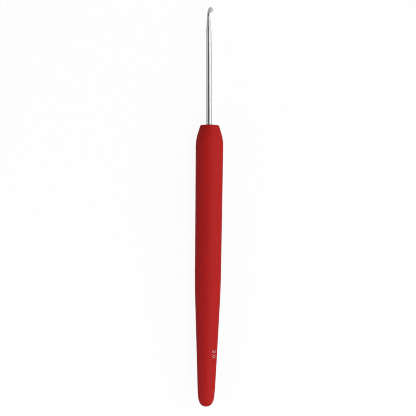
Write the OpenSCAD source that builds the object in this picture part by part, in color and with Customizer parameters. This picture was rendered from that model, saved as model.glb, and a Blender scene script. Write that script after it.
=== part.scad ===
// Crochet hook with a soft moulded handle, lying flat on a table.
// A steel needle ends in the hook. Its tang is moulded into a stiff core, and a soft grip covers the core.
// +Y runs along the needle towards the tip, +X is the side that the mouth opens to, and +Z is up.
// The origin is on the table, under the middle of the hook's bounding box. All sizes are in millimetres.

/* [Overall] */
// Length from the tail of the handle to the tip of the hook
total_len = 140; // [130:1:150]
// Length of the needle outside the handle
needle_out = 41.4; // [38:0.1:46]

/* [Needle] */
// Diameter of the round working shaft, which is the hook's nominal size
shaft_d = 2; // [1.95:0.05:2.1]
// Distance from the tip at which the shaft reaches its full diameter
taper_len = 18.6; // [17:0.2:22]
// Thickness of the head across its flattened cheeks
head_t = 1.64; // [1.5:0.02:1.76]
// Radius of the round cut that makes the mouth
mouth_r = 0.93; // [0.88:0.01:0.97]
// Distance from the tip to the centre of that cut
mouth_y = 2.66; // [2.62:0.01:2.7]
// Distance from the needle's axis to the centre of that cut
mouth_x = 1.04; // [0.99:0.01:1.07]

/* [Tang] */
// Length of the needle inside the handle
tang_len = 43; // [40:1:56]
// Length of the necked ring that the grip closes on
neck_len = 1.2; // [1:0.1:2]
// Depth of that ring
neck_depth = 0.2; // [0.15:0.01:0.3]
// Width of each crimped stretch
crimp_w = 2.5; // [2.3:0.05:2.7]
// Thickness of each crimped stretch
crimp_t = 1.3; // [1.2:0.05:1.6]
// Length of each crimped stretch
crimp_len = 6; // [4:0.5:8]

/* [Handle] */
// Width of the handle at the shoulder, before the corner is rounded
shoulder_w = 9.65; // [9.35:0.05:10.25]
// Width at the knee, where the barrel turns into the tail taper
knee_w = 9.07; // [8.6:0.01:9.15]
// Width that the tail taper would reach at its very end
tail_w = 5.59; // [5.4:0.01:6.1]
// Width of the nose at its end face, before the corner is rounded
nose_w = 6.51; // [6.35:0.01:6.9]
// Thickness of the handle as a share of its width
flatness = 0.92; // [0.88:0.01:1]
// Distance from the axis to the flat underside, as a share of half the thickness
under_share = 0.93; // [0.9:0.01:0.95]
// Distance from the tail to the knee
knee_y = 41.6; // [37.4:0.2:46.6]
// Length of the nose cone, from the shoulder to the end face
nose_len = 5.2; // [4.7:0.1:6.5]
// Length scale of the rounded tail end
tail_round = 1.37; // [1.1:0.01:1.7]
// Angle between the handle and the needle, seen from above
lean = 0.79; // [0:0.01:1]

/* [Core] */
// Thickness of the soft grip over the core
skin = 1.5; // [1.3:0.1:1.7]
// Number of locking grooves round the core
lock_count = 5; // [2:1:6]
// Length of each locking groove
lock_len = 3; // [2:0.5:5]
// Depth of each locking groove
lock_depth = 0.7; // [0.5:0.1:0.8]

/* [Hidden] */

shaft_r = shaft_d / 2;
handle_len = total_len - needle_out;
nose_y = total_len / 2 - needle_out;
// the leaning handle reaches a little further to -X, so the needle stands right of the middle
needle_x = 0.047;
// the handle's centre line crosses the plane of the nose this far right of the needle
nose_shift = 0.243;
round_fn = 96;
handle_sides = 42;
core_sides = 40;
head_sides = 36;

// Outline of the handle: how far its corners are rounded, measured along their sides
knee_blend = 5.6;
shoulder_blend = 2.24;
nose_blend = 0.42;
corner_steps = 8;
// length of the stretch that the rounded tail end takes up, its steps, and the radius of its flat middle
tail_dome = 8.4;
tail_steps = 12;
tail_flat = 0.23;

// Core: distance of its ends from the tail and the nose, and the chamfer round both
core_tail = 3.7;
core_nose = 2.1;
core_chamfer = 0.4;
// distance from each end of the core to the middle of its nearest locking groove
lock_margin = 13;
// distance from the nose to the middle of each crimped stretch
crimp_places = [13, 30];
// the necked ring starts this far inside the nose, because the nose's face leans with the handle
neck_start = 0.05;

// Outline of the needle's end, as [distance from the tip, distance from the axis].
// The front edge is drawn as if the mouth had not been cut yet.
bulb_y = 1.4;
bulb_power = 1.8;
tip_x = 0.58;
back_edge = [
    [bulb_y, -0.45], [2.15, -0.64], [3, -0.71], [3.9, -0.72],
    [6.2, -0.86], [8.4, -0.99], [12, -shaft_r], [taper_len, -shaft_r]
];
front_edge = [
    [bulb_y, 1.51], [1.96, 1.37], [3.45, 0.43], [4, 0.45],
    [6.2, 0.7], [8.4, 0.82], [taper_len, shaft_r]
];
half_thickness = [
    [bulb_y, head_t / 2], [3, 0.63], [4.3, 0.65],
    [8.4, 0.9], [14, shaft_r], [taper_len, shaft_r]
];
// the very tip is a flat this many times the head's width
tip_flat = 0.06;
// the rings lie close together as far as this from the tip
throat_end = 4.7;
tip_rings = 8;
throat_rings = 16;
taper_rings = 12;

// Smooth curve through a table of [place, value] rows, level at both ends
function row_at(table, x, i = 0) =
    i >= len(table) - 2 || x < table[i + 1][0] ? i : row_at(table, x, i + 1);
function slope(table, i) =
    i == 0 || i == len(table) - 1
        ? 0
        : (table[i + 1][1] - table[i - 1][1]) / (table[i + 1][0] - table[i - 1][0]);
function hermite(u, v0, m0, v1, m1) =
    (1 + 2 * u) * pow(1 - u, 2) * v0 + u * pow(1 - u, 2) * m0
        + u * u * (3 - 2 * u) * v1 + u * u * (u - 1) * m1;
function smooth(table, x) =
    let (i = row_at(table, x))
    let (a = table[i], b = table[i + 1], span = b[0] - a[0])
    hermite((x - a[0]) / span, a[1], slope(table, i) * span, b[1], slope(table, i + 1) * span);

// Corners of the handle's outline, as [distance from the axis, distance from the tail]
tail_point = [tail_w / 2, 0];
knee_point = [knee_w / 2, knee_y];
shoulder_point = [shoulder_w / 2, handle_len - nose_len];
nose_point = [nose_w / 2, handle_len];
axis_point = [0, handle_len];

function bend(a, b, c, u) = pow(1 - u, 2) * a + 2 * u * (1 - u) * b + u * u * c;
function towards(a, b, dist) = a + (b - a) * dist / norm(b - a);
function corner(a, b, c, blend) =
    [for (i = [0 : corner_steps]) bend(towards(b, a, blend), b, towards(b, c, blend), i / corner_steps)];
function tail_end(s) =
    let (side = towards(tail_point, knee_point, s))
    [max(tail_flat, side[0] * sqrt(1 - exp(-s / tail_round))), s];

knee_curve = corner(tail_point, knee_point, shoulder_point, knee_blend);
shoulder_curve = corner(knee_point, shoulder_point, nose_point, shoulder_blend);
handle_outline = concat(
    [for (i = [0 : tail_steps]) tail_end(tail_dome * pow(i / tail_steps, 2))],
    knee_curve,
    shoulder_curve,
    corner(shoulder_point, nose_point, axis_point, nose_blend)
);
rest_height = under_share * flatness * max([for (p = handle_outline) p[0]]);

// Radius of the handle at a distance from the tail, and the core's outline one skin further in
widths = [for (p = handle_outline) [p[1], p[0]]];
function under_skin(s, depth = 0) = [lookup(s, widths) - skin - depth, s];
core_front = handle_len - core_nose;
lock_pitch = (core_front - core_tail - 2 * lock_margin) / (lock_count - 1);
core_outline = concat(
    [under_skin(core_tail, core_chamfer), under_skin(core_tail + core_chamfer)],
    [for (i = [0 : lock_count - 1])
        let (low = core_tail + lock_margin + i * lock_pitch - lock_len / 2, high = low + lock_len)
        each [under_skin(low), under_skin(low, lock_depth), under_skin(high, lock_depth), under_skin(high)]],
    [for (p = shoulder_curve) under_skin(p[1])],
    [under_skin(core_front - core_chamfer), under_skin(core_front, core_chamfer)]
);

// One oval cross-section round the Z axis
function oval(z, middle, half_x, half_y, sides) =
    [for (i = [0 : sides - 1]) [middle + half_x * cos(360 * i / sides), half_y * sin(360 * i / sides), z]];

// A closed solid through a stack of ovals, listed from low z to high z
module stack(ovals) {
    n = len(ovals[0]);
    last = n * (len(ovals) - 1);
    sides = [for (r = [0 : len(ovals) - 2], i = [0 : n - 1])
        let (a = r * n + i, b = r * n + (i + 1) % n)
        [a, a + n, b + n, b]];
    low_cap = [for (i = [0 : n - 1]) i];
    high_cap = [for (i = [0 : n - 1]) last + n - 1 - i];
    polyhedron(points = [for (ring = ovals, p = ring) p], faces = concat(sides, [low_cap, high_cap]));
}

// Puts a piece that is drawn round +Z, with the tail at z = 0, along the leaning handle
module along_handle() {
    translate([needle_x + nose_shift, nose_y, rest_height])
        rotate([0, 0, -lean])
            translate([0, -handle_len, 0])
                rotate([-90, 0, 0])
                    children();
}

// Puts a piece that is drawn round +Z, with the nose at z = 0, along the needle
module along_needle() {
    translate([needle_x, nose_y, rest_height])
        rotate([-90, 0, 0])
            children();
}

// One cross-section of the handle: an oval that is cut flat underneath, which is local +Y
function handle_ring(half_x, z) =
    let (low = under_share * flatness * half_x)
    [for (p = oval(z, 0, half_x, flatness * half_x, handle_sides)) [p[0], min(p[1], low), z]];

module handle_body() {
    along_handle()
        stack([for (p = handle_outline) handle_ring(p[0], p[1])]);
}

module core_body() {
    along_handle()
        stack([for (p = core_outline) oval(p[1], 0, p[0], flatness * p[0], core_sides)]);
}

module crimp() {
    intersection() {
        cylinder(d = crimp_w, h = crimp_len, center = true, $fn = round_fn);
        cube([crimp_w, crimp_t, crimp_len], center = true);
    }
}

// The round wire from the taper to the end of the tang, with its necked ring and crimped stretches
module wire() {
    along_needle() {
        translate([0, 0, -neck_start])
            cylinder(r = shaft_r, h = neck_start + needle_out - taper_len, $fn = round_fn);
        translate([0, 0, -neck_start - neck_len])
            cylinder(r = shaft_r - neck_depth, h = neck_len, $fn = round_fn);
        difference() {
            translate([0, 0, -tang_len])
                cylinder(r = shaft_r, h = tang_len - neck_start - neck_len, $fn = round_fn);
            for (place = crimp_places)
                translate([0, 0, -place])
                    cube([2 * shaft_d, 2 * shaft_d, crimp_len], center = true);
        }
        for (place = crimp_places)
            translate([0, 0, -place])
                crimp();
    }
}

// Cross-sections of the needle's end at a distance from the tip, through the rounded tip and below it
function tip_ring(dist) =
    let (share = max(tip_flat, pow(1 - pow(1 - dist / bulb_y, bulb_power), 1 / bulb_power)))
    let (front = front_edge[0][1], back = back_edge[0][1])
    let (middle = tip_x + ((front + back) / 2 - tip_x) * dist / bulb_y)
    oval(needle_out - dist, middle, share * (front - back) / 2, share * head_t / 2, head_sides);
function body_ring(dist) =
    let (front = smooth(front_edge, dist), back = smooth(back_edge, dist))
    oval(needle_out - dist, (front + back) / 2, (front - back) / 2, smooth(half_thickness, dist), head_sides);

// The needle's end before the mouth is cut
module head_blank() {
    taper = [for (i = [taper_rings : -1 : 1]) throat_end + (taper_len - throat_end) * i / taper_rings];
    throat = [for (i = [throat_rings : -1 : 0]) bulb_y + (throat_end - bulb_y) * i / throat_rings];
    tip = [for (i = [tip_rings - 1 : -1 : 0]) bulb_y * pow(i / tip_rings, 2)];
    stack(concat([for (d = concat(taper, throat)) body_ring(d)], [for (d = tip) tip_ring(d)]));
}

module hook_head() {
    color([0.8, 0.81, 0.82])
        along_needle()
            difference() {
                head_blank();
                translate([mouth_x, 0, needle_out - mouth_y])
                    rotate([90, 0, 0])
                        cylinder(r = mouth_r, h = 2 * shaft_d, center = true, $fn = round_fn);
            }
}

module hook_shaft() {
    color([0.76, 0.77, 0.79])
        wire();
}

module handle_core() {
    color([0.86, 0.84, 0.8])
        difference() {
            core_body();
            wire();
        }
}

module soft_grip() {
    color([0.66, 0.13, 0.13])
        difference() {
            handle_body();
            core_body();
            wire();
        }
}

hook_head();
hook_shaft();
handle_core();
soft_grip();
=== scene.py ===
import math

import bmesh
import bpy
import numpy as np
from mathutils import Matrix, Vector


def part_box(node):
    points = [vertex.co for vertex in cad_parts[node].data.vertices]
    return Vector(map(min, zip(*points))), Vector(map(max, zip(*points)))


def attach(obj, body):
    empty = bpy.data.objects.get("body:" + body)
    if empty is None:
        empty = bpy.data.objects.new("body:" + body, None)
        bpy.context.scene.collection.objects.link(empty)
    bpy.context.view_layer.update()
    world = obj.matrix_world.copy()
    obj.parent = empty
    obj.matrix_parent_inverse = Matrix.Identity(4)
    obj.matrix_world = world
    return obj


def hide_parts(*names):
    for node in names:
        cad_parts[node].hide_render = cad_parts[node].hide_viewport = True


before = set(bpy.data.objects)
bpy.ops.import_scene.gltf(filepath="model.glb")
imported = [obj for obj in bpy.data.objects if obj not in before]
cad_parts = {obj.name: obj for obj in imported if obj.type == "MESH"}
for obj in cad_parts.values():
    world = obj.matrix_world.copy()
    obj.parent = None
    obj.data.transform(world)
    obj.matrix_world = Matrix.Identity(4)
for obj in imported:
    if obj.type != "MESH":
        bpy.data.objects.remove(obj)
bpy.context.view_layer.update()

# Everything is drawn in millimetres in the CAD frame and stored in metres.
MM = 0.001

# ---- where the pieces are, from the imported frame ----
head_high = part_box("hook_head")[1]
wire_low, wire_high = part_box("hook_shaft")
grip_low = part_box("soft_grip")[0]
tip_y = head_high.y / MM
axis_x = (wire_low.x + wire_high.x) / 2 / MM
axis_z = (wire_low.z + wire_high.z) / 2 / MM
tang_y = wire_low.y / MM
floor_z = grip_low.z

# ---- sizes that the design shares with the CAD source ----
SHAFT_R = 1.0
NEEDLE_OUT = 41.4
HANDLE_LEN = 98.6
NOSE_Y = tip_y - NEEDLE_OUT
LEAN = math.radians(0.79)
NOSE_SHIFT = 0.243
FLATNESS = 0.92
UNDER_SHARE = 0.93

# corners of the handle's outline, as (half width, distance from the tail)
TAIL_POINT = np.array([2.795, 0.0])
KNEE_POINT = np.array([4.535, 41.6])
SHOULDER_POINT = np.array([4.825, 93.4])
NOSE_POINT = np.array([3.255, HANDLE_LEN])
FACE_POINT = np.array([0.0, HANDLE_LEN])
KNEE_BLEND = 5.6
SHOULDER_BLEND = 2.24
NOSE_BLEND = 0.42
TAIL_ROUND = 1.37
TAIL_DOME = 8.4

# ---- sizes of the grip that only this model has ----
BOW = 0.121
FACE_DOME = 0.2
# the lip where the nose's face meets the needle, the bore behind it, and the depths of the bore's rings
LIP_R = 1.28
LIP_RISE = 0.04
BORE_R = SHAFT_R + 0.012
BORE_RINGS = (1.0, 1.8)
# the hollow that the core fills: its distance from the outside, and its two ends' distances from the tail
HOLLOW_SKIN = 1.35
HOLLOW_FRONT = HANDLE_LEN - 1.95
HOLLOW_TAIL = 3.55
# the parting line along both sides, as its height and its width round the grip
SEAM_H = 0.022
SEAM_W = math.radians(0.75)


def link(name, verts, faces):
    """A mesh object with outward faces and smooth shading, from points in millimetres."""
    mesh = bpy.data.meshes.new(name)
    mesh.from_pydata([tuple(v) for v in np.asarray(verts) * MM], [], faces)
    work = bmesh.new()
    work.from_mesh(mesh)
    bmesh.ops.recalc_face_normals(work, faces=work.faces)
    work.to_mesh(mesh)
    work.free()
    mesh.polygons.foreach_set("use_smooth", [True] * len(mesh.polygons))
    mesh.update()
    obj = bpy.data.objects.new(name, mesh)
    bpy.context.scene.collection.objects.link(obj)
    return obj


def loft(name, rings, first_pole, last_pole):
    """A closed mesh through rings of equally many points, shut at both ends by a fan to a pole."""
    rings = [np.asarray(r, float) for r in rings]
    n = len(rings[0])
    verts = np.vstack([*rings, [first_pole], [last_pole]])
    first, last = n * len(rings), n * len(rings) + 1
    faces = []
    for k in range(len(rings) - 1):
        for i in range(n):
            j = (i + 1) % n
            faces.append((k * n + i, k * n + j, (k + 1) * n + j, (k + 1) * n + i))
    end = n * (len(rings) - 1)
    for i in range(n):
        j = (i + 1) % n
        faces.append((first, j, i))
        faces.append((last, end + i, end + j))
    return link(name, verts, faces)


# ---- the handle's outline ----
def bend(a, b, c, u):
    return (1 - u) ** 2 * a + 2 * u * (1 - u) * b + u * u * c


def towards(a, b, dist):
    return a + (b - a) * dist / np.linalg.norm(b - a)


def corner(a, b, c, blend, steps):
    start, stop = towards(b, a, blend), towards(b, c, blend)
    return [bend(start, b, stop, i / steps) for i in range(steps + 1)]


def tail_end(s):
    side = towards(TAIL_POINT, KNEE_POINT, s)
    return np.array([side[0] * math.sqrt(1 - math.exp(-s / TAIL_ROUND)), s])


def straight(a, b, steps):
    return [a + (b - a) * i / steps for i in range(1, steps)]


def handle_outline():
    """Half width against distance from the tail, from the rounded tail to the edge of the nose's face."""
    tail = [tail_end(TAIL_DOME * (i / 44) ** 2.2) for i in range(1, 45)]
    knee = corner(TAIL_POINT, KNEE_POINT, SHOULDER_POINT, KNEE_BLEND, 14)
    shoulder = corner(KNEE_POINT, SHOULDER_POINT, NOSE_POINT, SHOULDER_BLEND, 22)
    nose = corner(SHOULDER_POINT, NOSE_POINT, FACE_POINT, NOSE_BLEND, 10)
    return (
        tail
        + straight(tail[-1], knee[0], 16)
        + knee
        + straight(knee[-1], shoulder[0], 28)
        + shoulder
        + straight(shoulder[-1], nose[0], 6)
        + nose
    )


OUTLINE = handle_outline()
OUTLINE_S = np.array([p[1] for p in OUTLINE])
OUTLINE_A = np.array([p[0] for p in OUTLINE])


def half_width(s):
    return float(np.interp(s, OUTLINE_S, OUTLINE_A))


def bow(s):
    """The moulded handle is not quite straight: its middle stands this far to the side of the mouth."""
    share = min(1.0, max(0.0, s / HANDLE_LEN))
    return BOW * math.sin(math.pi * share**0.6) ** 0.7


def along_handle(points, s, shift=0.0):
    """Points (across, up) of a section at a distance from the tail, in the row frame."""
    points = np.asarray(points, float)
    across = points[:, 0] + shift
    back = s - HANDLE_LEN
    x = axis_x + NOSE_SHIFT + across * math.cos(LEAN) + back * math.sin(LEAN)
    y = NOSE_Y - across * math.sin(LEAN) + back * math.cos(LEAN)
    return np.column_stack([x, y, axis_z + points[:, 1]])


def along_needle(points, dist):
    """Points (across, up) of a section at a distance from the tip, in the row frame."""
    points = np.asarray(points, float)
    y = np.full(len(points), tip_y - dist)
    return np.column_stack([axis_x + points[:, 0], y, axis_z + points[:, 1]])


def ring_angles(sides):
    """Angles round the handle, closer together at both sides, where the mould's halves met."""
    even = [2 * math.pi * (i + 0.5) / sides for i in range(sides)]
    near = [math.radians(a) for a in (-2.4, -1.5, -0.9, -0.45, 0.0, 0.45, 0.9, 1.5, 2.4)]
    seams = near + [math.pi + a for a in near]
    keep = [a for a in even if min(abs(math.remainder(a - b, 2 * math.pi)) for b in seams) > 0.02]
    return sorted((a % (2 * math.pi)) for a in keep + seams)


GRIP_ANGLES = ring_angles(120)


def grip_section(half, seam=0.0):
    """An oval with a softly flattened underside and a faint parting line at both sides."""
    points = []
    for a in GRIP_ANGLES:
        off = min(abs(math.remainder(a, math.pi)), math.pi / 2)
        rise = 1 + seam * math.exp(-((off / SEAM_W) ** 2)) / max(half, 0.5)
        x = half * math.cos(a) * rise
        z = FLATNESS * half * math.sin(a)
        low = -UNDER_SHARE * FLATNESS * half
        soft = 0.012 * half
        if z < low + 6 * soft:
            z = low + soft * math.log1p(math.exp((z - low) / soft))
        points.append((x, z))
    return points


def circle(radius):
    return [(radius * math.cos(a), radius * math.sin(a)) for a in GRIP_ANGLES]


def outer_rings():
    """Rings along the outside of the grip, from the tail to the edge of the nose's face."""
    rings = []
    for half, s in OUTLINE:
        seam = SEAM_H * min(1.0, s / 3.0) * min(1.0, max(0.0, (HANDLE_LEN - 0.6 - s) / 2.0))
        rings.append(along_handle(grip_section(half, seam=seam), s, bow(s)))
    return rings


def face_rings():
    """Rings across the domed face of the nose, which turn from the oval to a circle round the needle."""
    rings = []
    edge = OUTLINE[-1][0]
    for i in range(1, 15):
        share = 1 - i / 15
        radius = LIP_R + (edge - LIP_R) * share
        dome = FACE_DOME * (1 - share) ** 1.3
        own = along_handle(grip_section(radius), HANDLE_LEN + dome)
        ring = along_needle(circle(radius), NEEDLE_OUT - dome)
        rings.append(own * share + ring * (1 - share))
    return rings


def bore_rings():
    """Rings round the lip and down the bore that holds the needle."""
    rings = []
    for i in range(9):
        turn = math.pi / 2 * i / 8
        radius = BORE_R + (LIP_R - BORE_R) * (1 - math.sin(turn))
        depth = NEEDLE_OUT - FACE_DOME + (FACE_DOME + LIP_RISE) * (1 - math.cos(turn))
        rings.append(along_needle(circle(radius), depth))
    for depth in BORE_RINGS:
        rings.append(along_needle(circle(BORE_R), NEEDLE_OUT + depth))
    return rings


def hollow_rings():
    """Rings round the hollow that the core fills, from the bore back to the tail."""
    rings = []
    for share in (0.35, 0.7, 1.0):
        own = along_handle(grip_section((half_width(HOLLOW_FRONT) - HOLLOW_SKIN) * share), HOLLOW_FRONT)
        ring = along_needle(circle(BORE_R), NEEDLE_OUT + HANDLE_LEN - HOLLOW_FRONT)
        rings.append(own * share + ring * (1 - share))
    for s in np.linspace(HOLLOW_FRONT - 0.8, HOLLOW_TAIL, 40):
        rings.append(along_handle(grip_section(half_width(s) - HOLLOW_SKIN), s))
    rings.append(along_handle(grip_section((half_width(HOLLOW_TAIL) - HOLLOW_SKIN) * 0.5), HOLLOW_TAIL))
    return rings


def make_grip():
    """The soft grip: outside, nose face, bore round the needle, and the hollow that the core fills."""
    rings = outer_rings() + face_rings() + bore_rings() + hollow_rings()
    tail_pole = along_handle([(bow(0), 0)], 0)[0]
    inner_pole = along_handle([(0, 0)], HOLLOW_TAIL)[0]
    return loft("grip", rings, tail_pole, inner_pole)


# ---- the needle ----
TAPER_LEN = 18.6
BULB_Y = 1.4
TIP_X = 0.58
BACK_EDGE = [(BULB_Y, -0.45), (2.15, -0.64), (3, -0.71), (3.9, -0.72)]
BACK_EDGE += [(6.2, -0.86), (8.4, -0.99), (12, -SHAFT_R), (TAPER_LEN, -SHAFT_R)]
FRONT_EDGE = [(BULB_Y, 1.51), (1.96, 1.37), (3.45, 0.43), (4, 0.45)]
FRONT_EDGE += [(6.2, 0.7), (8.4, 0.82), (TAPER_LEN, SHAFT_R)]
HALF_THICKNESS = [(BULB_Y, 0.82), (3, 0.63), (4.3, 0.65), (8.4, 0.9), (14, SHAFT_R), (TAPER_LEN, SHAFT_R)]
MOUTH = (1.04, 2.66, 0.93)
# where the mouth's cut opens through the front edge, and the length over which the lip closes above it
MOUTH_OPEN = 0.954
LIP_FADE = 0.05
# the edge of the cut is rounded over this length
CUT_SOFT = 0.05
NEEDLE_SIDES = 96
# tang: the necked ring, as (distance from the nose, radius), and the crimped stretches
NECK = ((0.04, SHAFT_R), (0.1, SHAFT_R - 0.2), (1.2, SHAFT_R - 0.2), (1.26, SHAFT_R))
CRIMP_PLACES = (13.0, 30.0)
CRIMP_STEPS = ((-3.05, 0), (-2.95, 0.9), (-2.8, 1), (2.8, 1), (2.95, 0.9), (3.05, 0))
CRIMP_HALF_WIDE = 1.25
CRIMP_HALF_THICK = 0.65


def smooth(table, x):
    """Smooth curve through rows of (place, value), level at both ends."""
    i = 0
    while i < len(table) - 2 and x >= table[i + 1][0]:
        i += 1
    (x0, v0), (x1, v1) = table[i], table[i + 1]

    def slope(k):
        if k == 0 or k == len(table) - 1:
            return 0.0
        return (table[k + 1][1] - table[k - 1][1]) / (table[k + 1][0] - table[k - 1][0])

    span = x1 - x0
    u = (x - x0) / span
    return (
        (1 + 2 * u) * (1 - u) ** 2 * v0
        + u * (1 - u) ** 2 * slope(i) * span
        + u * u * (3 - 2 * u) * v1
        + u * u * (u - 1) * slope(i + 1) * span
    )


def mouth_wall(dist):
    """How far across the mouth's cut reaches at a distance from the tip, or None beside it."""
    x, y, r = MOUTH
    lip_top = y - r
    if dist <= lip_top - LIP_FADE or dist >= y + 0.95 * r:
        return None
    if dist < lip_top + 0.004:
        share = (dist - (lip_top - LIP_FADE)) / (LIP_FADE + 0.004)
        widest = FRONT_EDGE[0][1]
        return widest - (widest - MOUTH_OPEN) * share**3.0
    return min(MOUTH_OPEN, x - math.sqrt(max(0.0, r * r - (dist - y) ** 2)))


def soft_clip(x, wall):
    """x held below the wall, with the corner between them rounded."""
    over = (wall - x) / CUT_SOFT
    if over >= 40:
        return x
    return wall - CUT_SOFT * math.log1p(math.exp(over))


def needle_section(front, back, thick, power, wall=None):
    middle, half = (front + back) / 2, (front - back) / 2
    points = []
    for i in range(NEEDLE_SIDES):
        a = 2 * math.pi * i / NEEDLE_SIDES
        c, s = math.cos(a), math.sin(a)
        x = middle + half * math.copysign(abs(c) ** (2 / power), c)
        z = thick * math.copysign(abs(s) ** (2 / power), s)
        points.append((x if wall is None else soft_clip(x, wall), z))
    return points


def round_section(radius):
    return needle_section(radius, -radius, radius, 2.0)


def head_power(dist):
    """The cheeks of the head are flattened, and the section turns round along the taper."""
    return 2.0 + 1.2 * max(0.0, min(1.0, (8.9 - dist) / 3.7))


def tip_rings():
    """Rings round the domed tip, from the very end to the widest place of the head."""
    rings = []
    front, back = FRONT_EDGE[0][1], BACK_EDGE[0][1]
    for i in range(1, 31):
        dist = BULB_Y * (i / 30) ** 2
        share = (1 - (1 - dist / BULB_Y) ** 1.8) ** (1 / 1.8)
        middle = TIP_X + ((front + back) / 2 - TIP_X) * dist / BULB_Y
        half = share * (front - back) / 2
        thick = share * HALF_THICKNESS[0][1]
        section = needle_section(middle + half, middle - half, thick, head_power(dist))
        rings.append(along_needle(section, dist))
    return rings


def throat_rings():
    """Rings from the head through the mouth and along the taper, closest together at the lip."""
    lip = MOUTH[1] - MOUTH[2]
    places = list(np.linspace(1.46, lip - 0.06, 8))
    places += list(np.linspace(lip - LIP_FADE, lip + 0.01, 13))
    places += list(np.linspace(lip + 0.025, lip + 0.3, 14))
    places += list(np.linspace(lip + 0.34, 4.0, 48))
    places += list(np.linspace(4.1, 8.4, 24))
    places += list(np.linspace(8.8, TAPER_LEN, 18))
    rings = []
    for dist in places:
        front, back = smooth(FRONT_EDGE, dist), smooth(BACK_EDGE, dist)
        thick = smooth(HALF_THICKNESS, dist)
        section = needle_section(front, back, thick, head_power(dist), mouth_wall(dist))
        rings.append(along_needle(section, dist))
    return rings


def tang_rings(tang_end):
    """Rings along the round shaft and the tang, with the necked ring and the two crimped stretches."""
    rings = []
    for dist in np.linspace(TAPER_LEN + 1, NEEDLE_OUT, 12):
        rings.append(along_needle(round_section(SHAFT_R), dist))
    for dist, radius in NECK:
        rings.append(along_needle(round_section(radius), NEEDLE_OUT + dist))
    for place in CRIMP_PLACES:
        for off, share in CRIMP_STEPS:
            wide = SHAFT_R + (CRIMP_HALF_WIDE - SHAFT_R) * share
            thick = SHAFT_R + (CRIMP_HALF_THICK - SHAFT_R) * share
            section = needle_section(wide, -wide, thick, 2.0 + 0.8 * share)
            rings.append(along_needle(section, NEEDLE_OUT + place + off))
    rings.append(along_needle(round_section(SHAFT_R), tang_end - 0.1))
    rings.append(along_needle(round_section(SHAFT_R - 0.12), tang_end - 0.002))
    return rings


def make_needle():
    """One length of wire: hook, taper, shaft and the tang with its two crimped stretches."""
    tang_end = tip_y - tang_y
    tip = along_needle([(TIP_X, 0)], 0)[0]
    end = along_needle([(0, 0)], tang_end)[0]
    obj = loft("needle", tip_rings() + throat_rings() + tang_rings(tang_end), tip, end)
    obj.data.set_sharp_from_angle(angle=math.radians(62))
    return obj


# ---- the size mark ----
def arc(cx, cy, rx, ry, start, stop, steps=14):
    turns = np.radians(np.linspace(start, stop, steps))
    return [(cx + rx * math.cos(t), cy + ry * math.sin(t)) for t in turns]


# strokes of each sign in a box 1 high, as lists of points
SIGNS = {
    "2": [arc(0.31, 0.70, 0.29, 0.28, 165, -35) + [(0.03, 0.03), (0.60, 0.03)]],
    "0": [arc(0.31, 0.50, 0.28, 0.47, 90, -270, 36)],
    ".": [[(0.05, 0.05), (0.11, 0.05)]],
}
MARK_HIGH = 1.4
MARK_LINE = 0.18
MARK_ROUND = math.radians(45)
# a plain number in a layout of the builder's own: each sign, and its left side's distance from the tail
MARK = [("2", 20.0), (".", 18.8), ("0", 18.3)]


def on_grip(s, arc_up, rise):
    """A point at distance s from the tail and arc_up round from the mark's middle, rise above the grip."""
    half = half_width(s)
    a = math.pi / 2 - MARK_ROUND - arc_up / half
    x, z = half * math.cos(a), FLATNESS * half * math.sin(a)
    nx, nz = math.cos(a) * FLATNESS, math.sin(a)
    size = math.hypot(nx, nz)
    return along_handle([(x + rise * nx / size, z + rise * nz / size)], s, bow(s))[0]


def resample(line, step):
    line = np.asarray(line, float)
    ends = np.r_[0, np.cumsum(np.linalg.norm(np.diff(line, axis=0), axis=1))]
    count = max(2, int(math.ceil(ends[-1] / step)) + 1)
    at = np.linspace(0, ends[-1], count)
    return np.column_stack([np.interp(at, ends, line[:, k]) for k in (0, 1)])


def stroke_rows(stroke):
    """A stroke as rows of (point, direction across, share of the line's width), with both ends rounded."""
    line = resample(np.asarray(stroke) * MARK_HIGH, 0.05)
    along = np.gradient(line, axis=0)
    along /= np.linalg.norm(along, axis=1)[:, None]
    side = np.column_stack([-along[:, 1], along[:, 0]])
    caps = [(0.35, 0.94), (0.7, 0.71), (0.93, 0.37)]
    front = [(line[0] - along[0] * MARK_LINE / 2 * c, side[0], w) for c, w in reversed(caps)]
    back = [(line[-1] + along[-1] * MARK_LINE / 2 * c, side[-1], w) for c, w in caps]
    return front + [(p, n, 1.0) for p, n in zip(line, side)] + back


def ribbon_faces(base, rows, n):
    """Faces of a closed ribbon whose rows hold n points below and n above, from vertex number base."""
    faces = []
    for k in range(rows - 1):
        a, b = base + k * 2 * n, base + (k + 1) * 2 * n
        for i in range(n - 1):
            faces.append((a + i, a + i + 1, b + i + 1, b + i))
            faces.append((a + n + i, b + n + i, b + n + 1 + i, a + n + 1 + i))
        faces.append((a, b, b + n, a + n))
        faces.append((a + n - 1, a + 2 * n - 1, b + 2 * n - 1, b + n - 1))
    for a in (base, base + (rows - 1) * 2 * n):
        for i in range(n - 1):
            faces.append((a + i, a + n + i, a + n + 1 + i, a + 1 + i))
    return faces


def make_mark():
    """Raised print: each stroke is a thin closed ribbon that follows the grip's surface."""
    verts, faces = [], []
    across = np.linspace(-1, 1, 5)
    for sign, left in MARK:
        for stroke in SIGNS[sign]:
            rows = stroke_rows(stroke)
            faces += ribbon_faces(len(verts), len(rows), len(across))
            for point, normal, wide in rows:
                for rise, edge in ((-0.02, 1.0), (0.016, 0.94)):
                    for u in across:
                        q = point + normal * u * wide * edge * MARK_LINE / 2
                        # the mark reads towards the tail, with its top to the side of the mouth
                        verts.append(on_grip(left - q[0], q[1] - MARK_HIGH / 2, rise))
    return link("size_mark", verts, faces)


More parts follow.
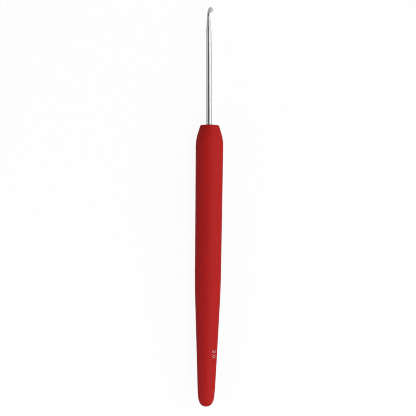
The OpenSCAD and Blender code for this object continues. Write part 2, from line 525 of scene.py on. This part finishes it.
# ---- materials ----
class Nodes:
    """Short hand for building one material's node tree."""

    def __init__(self, name):
        self.mat = bpy.data.materials.new(name)
        self.mat.use_nodes = True
        self.tree = self.mat.node_tree
        self.shader = self.tree.nodes["Principled BSDF"]
        self.coords = self.add("ShaderNodeTexCoord").outputs["Object"]

    def add(self, kind, **values):
        node = self.tree.nodes.new(kind)
        for key, value in values.items():
            setattr(node, key, value)
        return node

    def join(self, out, socket):
        self.tree.links.new(out, socket)

    def stretched(self, scale):
        node = self.add("ShaderNodeMapping")
        node.inputs["Scale"].default_value = scale
        self.join(self.coords, node.inputs["Vector"])
        return node.outputs["Vector"]

    def noise(self, scale, detail=4.0, rough=0.55, vector=None):
        node = self.add("ShaderNodeTexNoise")
        node.inputs["Scale"].default_value = scale
        node.inputs["Detail"].default_value = detail
        node.inputs["Roughness"].default_value = rough
        self.join(vector or self.coords, node.inputs["Vector"])
        return node.outputs["Fac"]

    def ramp(self, value, low, high, out_low, out_high, kind="LINEAR"):
        node = self.add("ShaderNodeMapRange", clamp=True, interpolation_type=kind)
        for key, number in zip(("From Min", "From Max", "To Min", "To Max"), (low, high, out_low, out_high)):
            node.inputs[key].default_value = number
        self.join(value, node.inputs["Value"])
        return node.outputs["Result"]

    def mix(self, factor, one, two):
        node = self.add("ShaderNodeMix", data_type="RGBA")
        self.join(factor, node.inputs[0])
        for index, colour in ((6, one), (7, two)):
            if isinstance(colour, tuple):
                node.inputs[index].default_value = (*colour, 1.0)
            else:
                self.join(colour, node.inputs[index])
        return node.outputs[2]

    def math(self, kind, one, two):
        node = self.add("ShaderNodeMath", operation=kind)
        for index, value in enumerate((one, two)):
            if isinstance(value, (int, float)):
                node.inputs[index].default_value = value
            else:
                self.join(value, node.inputs[index])
        return node.outputs[0]

    def bump(self, height, strength, distance):
        node = self.add("ShaderNodeBump")
        node.inputs["Strength"].default_value = strength
        node.inputs["Distance"].default_value = distance
        self.join(height, node.inputs["Height"])
        self.join(node.outputs["Normal"], self.shader.inputs["Normal"])

    def set(self, **values):
        for key, value in values.items():
            self.shader.inputs[key.replace("_", " ")].default_value = value


def red_rubber():
    """Satin soft-touch red, with a fine grain and the faint shine of handling along the barrel."""
    n = Nodes("soft_touch_red")
    broad = n.noise(60.0, 3.0)
    fine = n.noise(5000.0, 3.0, 0.6)
    colour = n.mix(n.ramp(broad, 0.3, 0.7, 0.0, 1.0), (0.487, 0.0104, 0.0096), (0.507, 0.0116, 0.0106))
    colour = n.mix(n.ramp(fine, 0.35, 0.75, 0.0, 0.35), colour, (0.515, 0.0132, 0.0122))
    n.join(colour, n.shader.inputs["Base Color"])
    worn = n.noise(220.0, 5.0, 0.65)
    rough = n.math("ADD", n.ramp(worn, 0.35, 0.7, 0.52, 0.62), n.ramp(fine, 0.3, 0.7, -0.03, 0.03))
    n.join(rough, n.shader.inputs["Roughness"])
    scuffs = n.noise(900.0, 2.0, 0.5, n.stretched((1.0, 0.12, 1.0)))
    height = n.math("ADD", n.math("MULTIPLY", fine, 0.7), n.math("MULTIPLY", scuffs, 0.3))
    n.bump(height, 0.8, 0.00005)
    n.set(Specular_IOR_Level=0.15)
    return n.mat


def steel():
    """Polished steel with hair lines along the wire, and a duller head where the cheeks were ground."""
    n = Nodes("polished_steel")
    lines = n.noise(9000.0, 3.0, 0.6, n.stretched((1.0, 0.02, 1.0)))
    cloud = n.noise(500.0, 3.0)
    split = n.add("ShaderNodeSeparateXYZ")
    n.join(n.coords, split.inputs[0])
    ground = n.ramp(split.outputs["Y"], (tip_y - 2.8) * MM, (tip_y - 1.2) * MM, 0.0, 1.0, "SMOOTHSTEP")
    neck = n.ramp(split.outputs["Y"], (tip_y - 9.3) * MM, (tip_y - 5.6) * MM, 0.0, 0.12, "SMOOTHSTEP")
    colour = n.mix(n.ramp(cloud, 0.35, 0.7, 0.0, 1.0), (0.67, 0.67, 0.675), (0.71, 0.71, 0.715))
    colour = n.mix(ground, colour, (0.85, 0.85, 0.86))
    n.join(colour, n.shader.inputs["Base Color"])
    rough = n.math("ADD", n.ramp(lines, 0.3, 0.7, 0.09, 0.15), n.ramp(cloud, 0.3, 0.7, -0.01, 0.02))
    rough = n.math("ADD", n.math("ADD", rough, neck), n.math("MULTIPLY", ground, 0.6))
    n.join(rough, n.shader.inputs["Roughness"])
    n.bump(lines, 0.06, 0.000004)
    n.set(Metallic=1.0)
    return n.mat


def core_plastic():
    """Plain moulded plastic, a little uneven in colour, with flow lines from the gate."""
    n = Nodes("core_plastic")
    flow = n.noise(400.0, 4.0, 0.5, n.stretched((1.0, 0.15, 1.0)))
    grain = n.noise(6000.0, 2.0)
    colour = n.mix(n.ramp(flow, 0.3, 0.7, 0.0, 1.0), (0.70, 0.66, 0.59), (0.76, 0.73, 0.67))
    n.join(colour, n.shader.inputs["Base Color"])
    n.join(n.ramp(grain, 0.3, 0.7, 0.42, 0.52), n.shader.inputs["Roughness"])
    n.bump(grain, 0.2, 0.00002)
    return n.mat


def mark_ink():
    """Pale grey pad print, a little uneven where the ink lies thin."""
    n = Nodes("pale_print")
    thin = n.noise(5000.0, 4.0, 0.6)
    colour = n.mix(n.ramp(thin, 0.35, 0.65, 0.0, 1.0), (0.46, 0.34, 0.40), (0.60, 0.50, 0.56))
    n.join(colour, n.shader.inputs["Base Color"])
    n.join(n.ramp(thin, 0.3, 0.7, 0.40, 0.55), n.shader.inputs["Roughness"])
    n.bump(thin, 0.2, 0.00001)
    n.set(Specular_IOR_Level=0.3)
    return n.mat


def dress(obj, material):
    obj.data.materials.clear()
    obj.data.materials.append(material)


needle = make_needle()
grip = make_grip()
mark = make_mark()
steel_material = steel()
red_material = red_rubber()
dress(needle, steel_material)
dress(grip, red_material)
dress(mark, mark_ink())
dress(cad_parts["handle_core"], core_plastic())
dress(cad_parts["hook_head"], steel_material)
dress(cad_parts["hook_shaft"], steel_material)
dress(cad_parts["soft_grip"], red_material)

for piece, slot in ((needle, "polished_steel"), (grip, "soft_red"), (mark, None)):
    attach(piece, "root")
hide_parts("hook_head", "hook_shaft")
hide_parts("soft_grip")


# ---- floor, light and camera ----
FLOOR_HALF = 4000
# the floor's own glow grows between these distances from the object, in metres
GLOW_REACH = (0.37, 2.24)
GLOW_LEVEL = (0.925, 0.98)
WORLD_LEVEL = 0.09
CARD_HALF = (0.247, 0.114)
CARD_Z = 0.429


def make_floor():
    """A pale floor that looks white to the camera, with a faint contact shadow, and throws back less light."""
    corners = ((-1, -1), (1, -1), (1, 1), (-1, 1))
    mesh = bpy.data.meshes.new("floor")
    verts = [(x * FLOOR_HALF * MM, y * FLOOR_HALF * MM, floor_z) for x, y in corners]
    mesh.from_pydata(verts, [], [(0, 1, 2, 3)])
    obj = bpy.data.objects.new("floor", mesh)
    bpy.context.scene.collection.objects.link(obj)
    mat = bpy.data.materials.new("pale_floor")
    mat.use_nodes = True
    tree = mat.node_tree
    tree.nodes.remove(tree.nodes["Principled BSDF"])
    path = tree.nodes.new("ShaderNodeLightPath")

    def flat(kind, level):
        node = tree.nodes.new(kind)
        node.inputs["Color"].default_value = (level, level, level, 1.0)
        return node.outputs[0]

    def either(switch, off, on):
        node = tree.nodes.new("ShaderNodeMixShader")
        tree.links.new(path.outputs[switch], node.inputs["Fac"])
        tree.links.new(off, node.inputs[1])
        tree.links.new(on, node.inputs[2])
        return node.outputs[0]

    # the glow grows where the lamps' light fades, far from the object, so no horizon shows in low views
    place = tree.nodes.new("ShaderNodeTexCoord")
    reach = tree.nodes.new("ShaderNodeVectorMath")
    reach.operation = "LENGTH"
    tree.links.new(place.outputs["Object"], reach.inputs[0])
    fade = tree.nodes.new("ShaderNodeMapRange")
    fade.interpolation_type = "SMOOTHSTEP"
    for key, number in zip(("From Min", "From Max", "To Min", "To Max"), GLOW_REACH + GLOW_LEVEL):
        fade.inputs[key].default_value = number
    tree.links.new(reach.outputs["Value"], fade.inputs["Value"])
    glow = tree.nodes.new("ShaderNodeEmission")
    tree.links.new(fade.outputs["Result"], glow.inputs["Strength"])
    seen = tree.nodes.new("ShaderNodeAddShader")
    tree.links.new(glow.outputs[0], seen.inputs[0])
    tree.links.new(flat("ShaderNodeBsdfDiffuse", 0.09), seen.inputs[1])
    thrown = either("Is Glossy Ray", flat("ShaderNodeBsdfDiffuse", 0.20), flat("ShaderNodeBsdfDiffuse", 0.95))
    shown = either("Is Camera Ray", thrown, seen.outputs[0])
    tree.links.new(shown, tree.nodes["Material Output"].inputs["Surface"])
    obj.data.materials.append(mat)


def make_world(level):
    world = bpy.data.worlds.new("studio")
    bpy.context.scene.world = world
    world.use_nodes = True
    tree = world.node_tree
    dim = tree.nodes["Background"]
    dim.inputs["Color"].default_value = (1.0, 1.0, 1.0, 1.0)
    dim.inputs["Strength"].default_value = level
    pale = tree.nodes.new("ShaderNodeBackground")
    pale.inputs["Color"].default_value = (0.98, 0.98, 0.98, 1.0)
    path = tree.nodes.new("ShaderNodeLightPath")
    both = tree.nodes.new("ShaderNodeMixShader")
    tree.links.new(path.outputs["Is Camera Ray"], both.inputs["Fac"])
    tree.links.new(dim.outputs[0], both.inputs[1])
    tree.links.new(pale.outputs[0], both.inputs[2])
    tree.links.new(both.outputs[0], tree.nodes["World Output"].inputs["Surface"])


def softbox(name, from_deg, to_deg, level, distance=1.21, length=3.0, along=0.0):
    """An even panel that fills the directions between two angles from overhead, positive towards +X."""
    middle, half = math.radians((from_deg + to_deg) / 2), math.radians((to_deg - from_deg) / 2)
    light = bpy.data.lights.new(name, "AREA")
    light.shape = "RECTANGLE"
    light.size = 2 * distance * math.tan(half)
    light.size_y = length
    light.energy = level * math.pi * light.size * light.size_y
    obj = bpy.data.objects.new(name, light)
    obj.location = (distance * math.sin(middle), along, distance * math.cos(middle))
    obj.rotation_euler = (0.0, middle, 0.0)
    obj.visible_camera = False
    bpy.context.scene.collection.objects.link(obj)
    return obj


def camera_card():
    """The dark camera overhead, which only the steel mirrors."""
    turns = np.linspace(0, 2 * math.pi, 48, endpoint=False)
    verts = [(CARD_HALF[0] * math.cos(t), CARD_HALF[1] * math.sin(t), CARD_Z) for t in turns]
    mesh = bpy.data.meshes.new("camera_card")
    mesh.from_pydata(verts, [], [tuple(range(48))])
    obj = bpy.data.objects.new("camera_card", mesh)
    bpy.context.scene.collection.objects.link(obj)
    mat = bpy.data.materials.new("dark_card")
    mat.use_nodes = True
    shader = mat.node_tree.nodes["Principled BSDF"]
    shader.inputs["Base Color"].default_value = (0.03, 0.03, 0.03, 1.0)
    shader.inputs["Emission Color"].default_value = (1.0, 1.0, 1.0, 1.0)
    shader.inputs["Emission Strength"].default_value = 0.09
    obj.data.materials.append(mat)
    obj.visible_camera = obj.visible_diffuse = obj.visible_shadow = False


make_floor()
make_world(WORLD_LEVEL)
camera_card()
softbox("high_softbox", 2, 45, 1.42, length=2.26, along=-0.93)
# over the needle the same softbox is dimmer in the steel than on the grip
high_front = softbox("high_front", 2, 45, 1.42, length=0.74, along=0.57)
high_front.visible_glossy = False
high_mirror = softbox("high_mirror", 2, 45, 1.08, distance=1.18, length=0.74, along=0.57)
high_mirror.visible_diffuse = False
softbox("low_softbox", 45, 88, 1.28, along=0.09)
softbox("left_panel", -88, -38, 0.42, along=-0.37)
softbox("tail_fill", -85, -35, 0.80, distance=0.233, length=0.233, along=-0.21)
needle_panel = softbox("needle_panel", -86, -40, 0.19, distance=0.56, length=0.317, along=0.196)
needle_panel.visible_diffuse = False

# the camera hangs over the middle of the hook, and its distance fills the frame
CAMERA_PLACE = (axis_x - 0.35, -0.422, axis_z + 405.0)
camera_data = bpy.data.cameras.new("camera")
camera_data.lens = 100
camera_data.sensor_width = 36
camera_data.clip_start = 0.01
camera_data.clip_end = 20
camera_data.dof.use_dof = False
camera = bpy.data.objects.new("camera", camera_data)
camera.location = [place * MM for place in CAMERA_PLACE]
bpy.context.scene.collection.objects.link(camera)
scene = bpy.context.scene
scene.camera = camera
scene.view_settings.view_transform = "Standard"
scene.view_settings.look = "None"
scene.cycles.filter_width = 1.0
